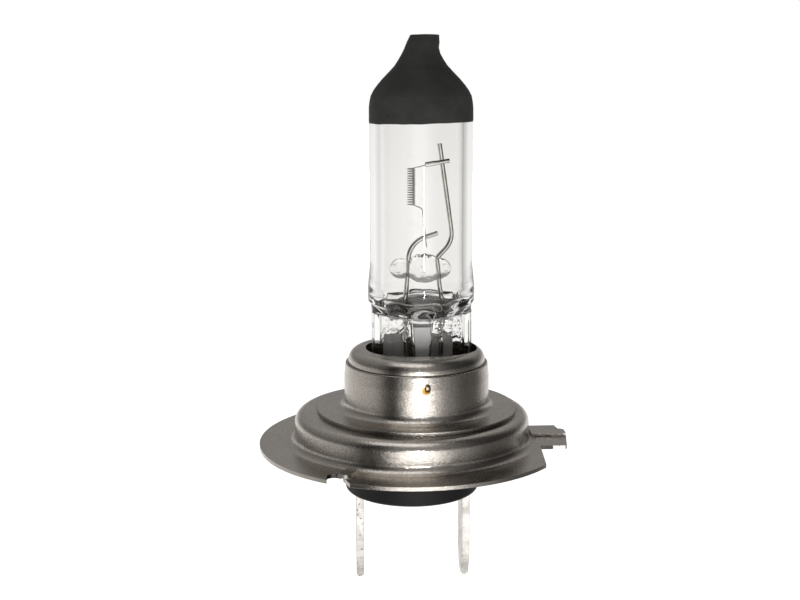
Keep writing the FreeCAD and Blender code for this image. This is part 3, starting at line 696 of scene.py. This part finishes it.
def seal_depth(x, z, side):
    """Half thickness of the press seal at x from its middle."""
    rib = smooth(RIB_INNER - 0.12, RIB_INNER + 0.12, abs(x))
    depth = WEB_HALF + (RIB_HALF - WEB_HALF) * rib
    depth += (SPINE_HALF - WEB_HALF) * spine_share(x, z)
    edge = smooth(SEAL_HALF - 0.30, SEAL_HALF, abs(x))
    return depth - 0.22 * edge * edge + crinkle(x, z, side)


def envelope_ring(z, flat):
    """One ring of the outer skin. flat runs from 0, round, to 1, pressed to the seal's outline."""
    radius = straight(TUBE_RADIUS, z)
    narrow = smooth(14.4, 13.2, z)
    half = blend(radius, SEAL_HALF, narrow)
    corner = math.acos(RIB_HALF / BELLY_RADIUS)
    rise = 0.60 * smooth(12.5, 13.3, z) * (1 - smooth(14.2, 15.1, z))
    waves = 0.11 * smooth(12.6, 13.4, z) * (1 - smooth(14.2, 15.0, z))
    ring = []

    def place(x, y):
        ring.append(Vector((glass_x + x, glass_y + y, z + rise * (x / half) ** 2)))

    for side in (-1, 1):
        for x_share in steps(side, -side, FACE_POINTS):
            turn = math.asin(x_share * math.sin(corner))
            x = blend(radius * math.sin(turn), half * x_share, narrow)
            y = blend(radius * math.cos(turn), seal_depth(SEAL_HALF * x_share, z, side), flat)
            place(x, side * (y + waves * ripple(x, side * 4.0, z, 0.9, 6.1)))
        for share in steps(0, 1, SIDE_POINTS + 2)[1:-1]:
            turn = blend(corner, math.pi - corner, share)
            bow = math.sin(math.pi * share)
            deep = RIB_HALF - 0.22
            x = blend(radius * math.sin(turn), half + 0.05 * bow, narrow)
            y = blend(radius * math.cos(turn), deep * math.cos(math.pi * share), flat)
            place(-side * x, side * y)
    return ring


def shoulder_steps():
    """(height, flat) down the shoulder: a round edge, a nearly level underside, a soft root."""
    rows = []
    edge_flat, root_flat = 0.30, 0.86
    for share in steps(0, 1, 14):
        turn = share * math.pi / 2
        rows.append((blend(EDGE_TOP, UNDERSIDE, math.sin(turn)), edge_flat * (1 - math.cos(turn))))
    for share in steps(0.1, 1, 10):
        rows.append((blend(UNDERSIDE, ROOT, share), blend(edge_flat, root_flat, share)))
    for share in steps(0.1, 1, 10):
        turn = share * math.pi / 2
        rows.append((ROOT - ROOT_DROP * (1 - math.cos(turn)), blend(root_flat, 1.0, math.sin(turn))))
    return rows


def cap_ring(z):
    """A round ring of the dome and tip, in step with the rings of the straight tube."""
    radius = straight(CAP_RADIUS, z)
    lean = straight(CAP_LEAN, z)
    ring = []
    for point in envelope_ring(20.0, 0.0):
        out = Vector((point.x - glass_x, point.y - glass_y)).normalized()
        ring.append(Vector((glass_x + lean + out.x * radius, glass_y + out.y * radius, z)))
    return ring


def envelope_outside():
    """The outer skin from the seal's foot to the tip."""
    rows = [(z, 1.0) for z in [*steps(SEAL_LOW, 8.2, 10), *steps(8.3, 12.6, 64)]]
    rows += reversed(shoulder_steps())
    rows += [(z, 0.0) for z in [*steps(15.1, 19.0, 24), *steps(19.6, 33.6, 18)]]
    rings = [envelope_ring(z, flat) for z, flat in rows]
    rings += [cap_ring(z) for z in steps(CAP_START, 42.9, 60)]
    return join_rings(rings)


def cavity():
    """The hollow: a rounded, slightly squeezed floor, a straight bore and a dome with a pinhole."""
    bore = GLASS_RADIUS - WALL
    floor, corner, count = 14.20, 1.80, 128
    rows = []
    for share in steps(0.08, 1.0, 14):
        rows.append(((bore - corner) * share, floor + 0.25 * (1 - share * share), 0.78))
    for share in steps(0.06, 1.0, 16):
        turn = share * math.pi / 2
        rise = corner * (1 - math.cos(turn))
        rows.append((bore - corner + corner * math.sin(turn), floor + rise, blend(0.78, 0.95, share)))
    for z in steps(floor + corner + 0.3, 19.5, 10):
        rows.append((bore + 0.10 * smooth(19.5, 17.0, z), z, blend(0.95, 1.0, smooth(16.0, 17.5, z))))
    for z in steps(20.0, 35.0, 12):
        rows.append((bore, z, 1.0))
    for z in steps(35.3, 40.4, 26):
        rows.append((max(0.45, straight(CAP_RADIUS, z + 0.35) - WALL), z, 1.0))
    rows.append((0.30, 40.9, 1.0))
    rings = []
    for radius, z, squeeze in rows:
        ring = []
        for k in range(count):
            turn = 2 * math.pi * k / count
            x, y = radius * math.cos(turn), radius * squeeze * math.sin(turn)
            uneven = 0.16 * ripple(x, y, z, 1.5, 8.8) * (1 - smooth(floor + 0.4, floor + 1.8, z))
            ring.append(Vector((glass_x + x, glass_y + y, z + uneven)))
        rings.append(ring)
    return join_rings(rings, inward=True)


envelope = make_piece("quartz_envelope", [envelope_outside(), cavity()], seal_quartz,
                      "glass_envelope")


FROST_TOP = 12.6
SKIN_TOP = 12.35


def mark_frost(piece):
    """Stores how frosted each point is: only the front and back of the seal's middle pad."""
    frost = piece.data.attributes.new("frost", "FLOAT", "POINT")
    for point in piece.data.vertices:
        x, z = point.co.x / MM - glass_x, point.co.z / MM
        deep = abs(point.co.y / MM - glass_y)
        on_pad = smooth(SPINE_HALF - 0.25, SPINE_HALF - 0.05, deep) if z < FROST_TOP else 0.0
        frost.data[point.index].value = spine_share(x, z) * on_pad


mark_frost(envelope)


def make_pad_skin(side):
    """The roughened skin that the press tool leaves on one face of the middle pad."""
    rings = []
    for z in steps(SPINE_BOTTOM + 0.05, SKIN_TOP, 60):
        half = blend(0.68, 0.98, smooth(SPINE_BOTTOM, SPINE_TOP, z))
        half *= math.sqrt(smooth(SPINE_BOTTOM - 0.25, SPINE_BOTTOM + 0.35, z))
        across = [half * share for share in steps(-1, 1, 24)]
        ring = [Vector((glass_x + x, glass_y + side * (seal_depth(x, z, side) + 0.012), z)) for x in across]
        ring += [Vector((glass_x + x, glass_y + side * (SPINE_HALF - 0.10), z)) for x in reversed(across)]
        rings.append(ring)
    return join_rings(rings)


make_piece("pad_skin_front", [make_pad_skin(-1)], frosted_skin, crease=50.0)
make_piece("pad_skin_back", [make_pad_skin(1)], frosted_skin, crease=50.0)


# ---------------------------------------------------------------- coating on the dome and tip

COATING_POINTS = 220
COATING_DEPTH = 0.055
COATING_START = 33.93
# (share of the radius, drop) of the rings that close the tip
TIP_RINGS = [(0.97, 0.035), (0.80, 0.012), (0.45, 0.0), (0.12, 0.0)]


def coating_edge(turn):
    """The dipped edge is a little lower at the left and slightly ragged."""
    ragged = 0.045 * ripple(math.cos(turn) * 5, math.sin(turn) * 5, 0, 1.1, 5.3)
    return COATING_START + 0.10 * math.cos(turn) + ragged


def coating_ring(share, above):
    """One ring of the coating, a share of the way up and so far above the glass."""
    ring = []
    for k in range(COATING_POINTS):
        turn = 2 * math.pi * k / COATING_POINTS
        z = blend(coating_edge(turn), tip_top - 0.10 + min(0.0, above), share ** 0.9)
        radius = straight(CAP_RADIUS, z) + above
        radius += 0.012 * ripple(math.cos(turn) * 5, math.sin(turn) * 5, z, 1.6, 9.1)
        x = glass_x + straight(CAP_LEAN, z) + radius * math.cos(turn)
        ring.append(Vector((x, glass_y + radius * math.sin(turn), z)))
    return ring


def coating_top(shrink, drop):
    """One ring of the tip's cut end, which is very slightly domed and rough."""
    ring = []
    radius = (CAP_RADIUS[-1][1] + COATING_DEPTH) * shrink
    for k in range(COATING_POINTS):
        turn = 2 * math.pi * k / COATING_POINTS
        x = glass_x + CAP_LEAN[-1][1] + radius * math.cos(turn)
        y = glass_y + radius * math.sin(turn)
        ring.append(Vector((x, y, tip_top - drop - 0.02 + 0.018 * ripple(x, y, 0, 0.5, 4.4))))
    return ring


def make_coating():
    """A closed film over the dome and tip that thins out at its lower edge."""
    shares = steps(0.0, 1.0, 70)
    inside = [coating_ring(share, -0.02) for share in reversed(shares)]
    outside = [coating_ring(share, COATING_DEPTH * min(1.0, 0.35 + share * 40)) for share in shares]
    top = [coating_top(shrink, drop) for shrink, drop in TIP_RINGS]
    return join_rings(inside + outside + top)


make_piece("tip_coating", [make_coating()], coating, "black_tip_coating", crease=35.0)


# ---------------------------------------------------------------- bead that ties the leads

# middle, half length and radius of each lobe along the bead
LOBES = [(-1.10, 1.25, 1.14), (1.38, 2.02, 1.60), (3.08, 1.22, 1.16)]
DIMPLE_AT = 1.40
DIMPLE_DEPTH = 0.36
# (x, aside, up, radius) of each gas bubble, from the bead's middle line
BUBBLES = [
    (-1.75, 0.35, 0.30, 0.13), (-1.30, -0.45, -0.38, 0.10), (-1.55, -0.20, 0.62, 0.08),
    (0.35, -0.85, -0.70, 0.12), (1.05, -0.95, 0.35, 0.09), (1.80, -0.80, -0.85, 0.13),
    (1.35, 0.70, -0.55, 0.11), (3.45, -0.35, 0.45, 0.10), (3.62, 0.30, -0.30, 0.12),
]
bead_z = (bead_low.z + bead_high.z) / 2


def lobe_radius(x):
    """The lobes run softly into one another."""
    total = 0.0
    for middle, half, radius in LOBES:
        inside = max(0.0, 1 - ((x - middle) / half) ** 2)
        total += (radius * math.sqrt(inside)) ** 7
    return total ** (1 / 7)


def make_bead():
    """A short quartz rod, melted into three lobes, with a sunk oval on top of the middle one."""
    count = 96
    length = bead_high.x - bead_low.x
    rings = []
    for step in range(1, 120):
        x = bead_low.x + length * (0.5 - 0.5 * math.cos(math.pi * step / 120))
        ring = []
        for k in range(count):
            turn = 2 * math.pi * k / count
            bumps = 1 + 0.04 * ripple(x, math.cos(turn) * 1.4, math.sin(turn) * 1.4, 0.8, 2.2)
            bumps += 0.05 * ripple(x, math.cos(turn) * 1.4, math.sin(turn) * 1.4, 0.42, 4.9)
            radius = lobe_radius(x) * bumps
            y = radius * math.cos(turn)
            z = radius * math.sin(turn)
            dimple = math.hypot(x - DIMPLE_AT, y / 0.62)
            if z > 0:
                z -= DIMPLE_DEPTH * (1 - smooth(0.70, 0.95, dimple))
                z += 0.06 * smooth(0.80, 1.0, dimple) * (1 - smooth(1.05, 1.35, dimple))
            ring.append(Vector((x, lead_y + y, bead_z + z)))
        rings.append(ring)
    return join_rings(rings)


def make_bubbles():
    """Gas bubbles caught in the bead's lobes, a little stretched along it."""
    skins = []
    for x, y, z, radius in BUBBLES:
        rings = []
        for step in range(1, 12):
            tilt = math.pi * step / 12
            ring = []
            for k in range(20):
                turn = 2 * math.pi * k / 20
                flat = radius * math.sin(tilt)
                along, aside = 1.3 * flat * math.cos(turn), flat * math.sin(turn)
                up = z - radius * math.cos(tilt)
                ring.append(Vector((x + along, lead_y + y + aside, bead_z + up)))
            rings.append(ring)
        skins.append(join_rings(rings, inward=True))
    return skins


make_piece("bead", [make_bead(), *make_bubbles()], bead_quartz, "glass_bridge")


# ---------------------------------------------------------------- wires and filament

LEAD_RADIUS = 0.26
CROSS_RADIUS = 0.235
COIL_WIRE = 0.06
COIL_MEAN = 0.39
COIL_TURNS = 16
COIL_BOTTOM = 25.23
COIL_TOP = 29.23
# (x, z, bend radius) of each corner
LONG_LEAD = [(3.15, 8.9, 0), (3.33, 14.2, 1.5), (2.66, 19.47, 0.8), (4.48, 21.39, 2.4), (3.00, 31.70, 0)]
SHORT_LEAD = [(-0.65, 8.9, 0), (-0.65, 14.2, 1.5), (-0.20, 21.26, 2.6), (2.83, 22.26, 0)]
CROSS_WIRE = [(1.50, 29.53, 0), (4.03, 29.93, 0)]
UPPER_LEG = [(COIL_MEAN, COIL_TOP, 0), (0.84, 29.31, 0.5), (1.95, 29.60, 0)]
LOWER_LEG = [(1.62, 20.77, 0), (1.16, 24.90, 0.4), (COIL_MEAN, COIL_BOTTOM, 0)]


def wire_path(route, y, spacing):
    """Points along a route that stays in one upright plane."""
    return rounded_path([(x, y, z, bend) for x, z, bend in route], spacing)


def make_lead(name, route, node):
    """A support wire from the seal up through the bead."""
    skin = tube(wire_path(route, lead_y, 0.12), LEAD_RADIUS, 28)
    make_piece(name, [skin], lead_metal, node, crease=50.0)


def grip_shape(share):
    """The cross wire is squeezed flat where it holds the filament's leg."""
    squeezed = 1 - smooth(0.34, 0.52, share)
    return (1 + 0.10 * squeezed, 1 - 0.28 * squeezed)


def make_cross_wire():
    """The short wire across the long lead's top, on the coil's axis."""
    skin = tube(wire_path(CROSS_WIRE, 0.0, 0.08), CROSS_RADIUS, 28, grip_shape)
    make_piece("cross_wire", [skin], lead_metal, "upper_cross_wire", crease=50.0)


def make_filament():
    """Sixteen turns a little uneven in pitch, as wound, with a leg out of each end."""
    count = 36
    spiral = []
    for step in range(COIL_TURNS * count + 1):
        turn = 2 * math.pi * step / count
        share = step / (COIL_TURNS * count)
        uneven = 0.025 * ripple(share * COIL_TURNS, 0, 0, 1.7, 6.6) * math.sin(math.pi * share)
        wide = COIL_MEAN * (1 + 0.02 * ripple(share * COIL_TURNS, 3, 0, 2.1, 1.9))
        z = blend(COIL_BOTTOM, COIL_TOP, share) + uneven
        spiral.append(Vector((wide * math.cos(turn), wide * math.sin(turn), z)))
    upper = wire_path(UPPER_LEG, 0.0, 0.08)
    lower = wire_path(LOWER_LEG, 0.0, 0.08)
    path = lower[:-1] + spiral + upper[1:]
    make_piece("coil", [tube(path, COIL_WIRE, 14)], coil_metal, "filament")


def melted_spot(name, place, size, seed):
    """A small uneven blob of metal where two wires were welded."""
    rings = []
    for step in range(1, 16):
        tilt = math.pi * step / 16
        ring = []
        for k in range(24):
            turn = 2 * math.pi * k / 24
            flat = math.sin(tilt)
            out = Vector((flat * math.cos(turn), flat * math.sin(turn), -math.cos(tilt)))
            lump = 1 + 0.16 * noise.noise(out * 1.7 + Vector((seed, 0, 0)))
            ring.append(Vector(place) + out * Vector(size) * lump)
        rings.append(ring)
    make_piece(name, [join_rings(rings)], lead_metal)


make_lead("long_lead", LONG_LEAD, "long_lead_wire")
make_lead("short_lead", SHORT_LEAD, "short_lead_wire")
make_cross_wire()
make_filament()
melted_spot("cross_weld", (3.27, 0.13, 29.80), (0.27, 0.20, 0.24), 1.0)
melted_spot("leg_weld", (1.55, 0.02, 21.84), (0.15, 0.09, 0.22), 5.0)


# ---------------------------------------------------------------- weld spots on the collar

# (distance from the middle, height over the collar) of each ring of run metal
WELD_RINGS = [(0.42, -0.03), (0.37, 0.015), (0.31, 0.035), (0.23, 0.015), (0.14, 0.016), (0.05, 0.028)]
WELD_WIDTH = 0.86
WELD_TALLNESS = 1.30
# the collar's wall leans in by this much per millimetre of height
COLLAR_LEAN = 0.098


def weld_ring(number, turn, reach, lift):
    """One lumpy ring round a weld's middle, taller than wide, on the collar's wall."""
    ring = []
    for k in range(40):
        around = 2 * math.pi * k / 40
        lump = 1 + 0.10 * ripple(math.cos(around), math.sin(around), number, 0.9, 3.3)
        aside = reach * WELD_WIDTH * lump * math.cos(around)
        up = reach * WELD_TALLNESS * lump * math.sin(around)
        angle = turn + aside / WELD_RADIUS
        radius = WELD_RADIUS + lift - COLLAR_LEAN * up
        x, y = collar_x + radius * math.sin(angle), -radius * math.cos(angle)
        ring.append(Vector((x, y, WELD_HEIGHT + up)))
    return ring


def make_weld_spot(number, turn, place):
    """A laser weld through the collar: a sunk ring of run metal with a raised middle."""
    rings = [weld_ring(number, turn, reach, lift) for reach, lift in WELD_RINGS]
    backing = [point.lerp(Vector((collar_x, 0, WELD_HEIGHT)), 0.02) for point in rings[0]]
    skin = join_rings([backing, *rings])
    piece = make_piece(f"collar_weld_{number}", [skin], weld_bead)
    mask = piece.data.attributes.new("from_middle", "FLOAT", "POINT")
    for point in piece.data.vertices:
        mask.data[point.index].value = (point.co / MM - place).length / 0.50


for number, (turn, place) in enumerate(zip(weld_turns, weld_places), start=1):
    make_weld_spot(number, turn, place)


# ---------------------------------------------------------------- finishes of the CAD nodes that stay

FINISHES = {
    "base_shell": pressed_steel,
    "adjusting_collar": collar_steel,
    "inner_sleeve": drawn_steel,
    "pinch_clip": clip_steel,
    "insulator_plug": plastic,
    "blade_left": tin,
    "blade_right": tin,
    "foil_left": foil_metal,
    "foil_right": foil_metal,
    "outer_lead_left": lead_metal,
    "outer_lead_right": lead_metal,
}
for name, material in FINISHES.items():
    mesh = nodes[name].data
    mesh.materials.clear()
    mesh.materials.append(material)


# ---------------------------------------------------------------- floor and light

def lay_floor():
    """A wide pale floor well under the blades, out of the way of the metal's reflections."""
    half, height = 3.0, -0.20
    mesh = bpy.data.meshes.new("floor")
    corners = [(-half, -half, height), (half, -half, height), (half, half, height), (-half, half, height)]
    mesh.from_pydata(corners, [], [(0, 1, 2, 3)])
    material, tree, shader = new_material("floor_paint", Roughness=0.9)
    shader.inputs["Base Color"].default_value = (0.9, 0.9, 0.9, 1)
    shader.inputs["Emission Color"].default_value = (1, 1, 1, 1)
    shader.inputs["Emission Strength"].default_value = 0.95
    mesh.materials.append(material)
    floor = bpy.data.objects.new("floor", mesh)
    scene.collection.objects.link(floor)
    floor.visible_glossy = False
    floor.visible_transmission = False


# (degrees from the front, brightness) round the studio
AROUND = [
    (-180, 1.0), (-168, 0.90), (-157, 1.0), (-142, 0.82), (-105, 0.60), (-74, 0.50), (-60, 0.28),
    (-52, 0.05), (-31, 0.05), (-23, 0.50), (-14, 0.95), (19, 0.95), (29, 0.62), (40, 0.42), (54, 0.26),
    (70, 0.11), (112, 0.12), (126, 0.55), (146, 0.88), (158, 1.0), (169, 0.92), (180, 1.0),
]
# (sine of the height, brightness) from straight down to straight up
UPWARD = [
    (-1.0, 1.7), (-0.8, 1.35), (-0.5, 1.0), (-0.1, 1.0), (-0.02, 0.92), (0.12, 0.25), (0.3, 0.30),
    (0.6, 0.40), (1.0, 0.5),
]


def warm(value):
    """A brightness as a slightly warm white."""
    return (value, 0.99 * value, 0.975 * value)


def paint_world():
    """A soft studio, pale behind, with dark panels each side of the front light and a white backdrop."""
    world = bpy.data.worlds.new("studio")
    scene.world = world
    world.use_nodes = True
    tree = world.node_tree
    tree.nodes.clear()
    split = add(tree, "ShaderNodeSeparateXYZ")
    tree.links.new(add(tree, "ShaderNodeTexCoord").outputs["Generated"], split.inputs[0])
    forward = math_node(tree, "MULTIPLY", split.outputs[1], -1.0)
    turn = math_node(tree, "ARCTAN2", split.outputs[0], forward)
    share = math_node(tree, "MULTIPLY_ADD", turn, 0.5 / math.pi, 0.5)
    around = ramp(tree, share, [((angle + 180) / 360, warm(value)) for angle, value in AROUND])
    height = math_node(tree, "MULTIPLY_ADD", split.outputs[2], 0.5, 0.5)
    upward = ramp(tree, height, [((sine + 1) / 2, value) for sine, value in UPWARD])
    room = mix_colour(tree, 1.0, around, upward, "MULTIPLY")
    seen = add(tree, "ShaderNodeLightPath").outputs["Is Camera Ray"]
    sky = mix_colour(tree, seen, room, (1.0, 1.0, 1.0))
    background = add(tree, "ShaderNodeBackground", in_Color=sky, in_Strength=1.0)
    out = add(tree, "ShaderNodeOutputWorld")
    tree.links.new(background.outputs[0], out.inputs[0])


def hang_light(name, turn, height, away, wide, tall, power, aim):
    """A soft light at a turn from the front (towards the lug is positive), aimed at the axis."""
    light = bpy.data.lights.new(name, "AREA")
    light.shape = "RECTANGLE"
    light.size, light.size_y = wide * MM, tall * MM
    light.energy = power
    lamp = bpy.data.objects.new(name, light)
    scene.collection.objects.link(lamp)
    angle = math.radians(turn)
    spot = Vector((math.sin(angle) * away, -math.cos(angle) * away, height)) * MM
    lamp.location = spot
    lamp.rotation_euler = (Vector((0, 0, aim * MM)) - spot).to_track_quat("-Z", "Y").to_euler()
    lamp.visible_camera = False
    lamp.visible_transmission = False


lay_floor()
paint_world()
hang_light("front_strip", turn=3.0, height=-2.0, away=205.0, wide=7.0, tall=34.0, power=0.045, aim=-2.0)
hang_light("front_panel", turn=3.0, height=-58.0, away=230.0, wide=190.0, tall=44.0, power=0.055, aim=-58.0)
hang_light("top_panel", turn=-20.0, height=330.0, away=120.0, wide=260.0, tall=200.0, power=0.17, aim=12.0)

scene.view_settings.view_transform = "Standard"
scene.view_settings.look = "None"
scene.cycles.use_denoising = True
scene.cycles.max_bounces = 24
scene.cycles.transmission_bounces = 20
scene.cycles.glossy_bounces = 8
scene.cycles.transparent_max_bounces = 16
scene.cycles.caustics_refractive = True
scene.cycles.caustics_reflective = False
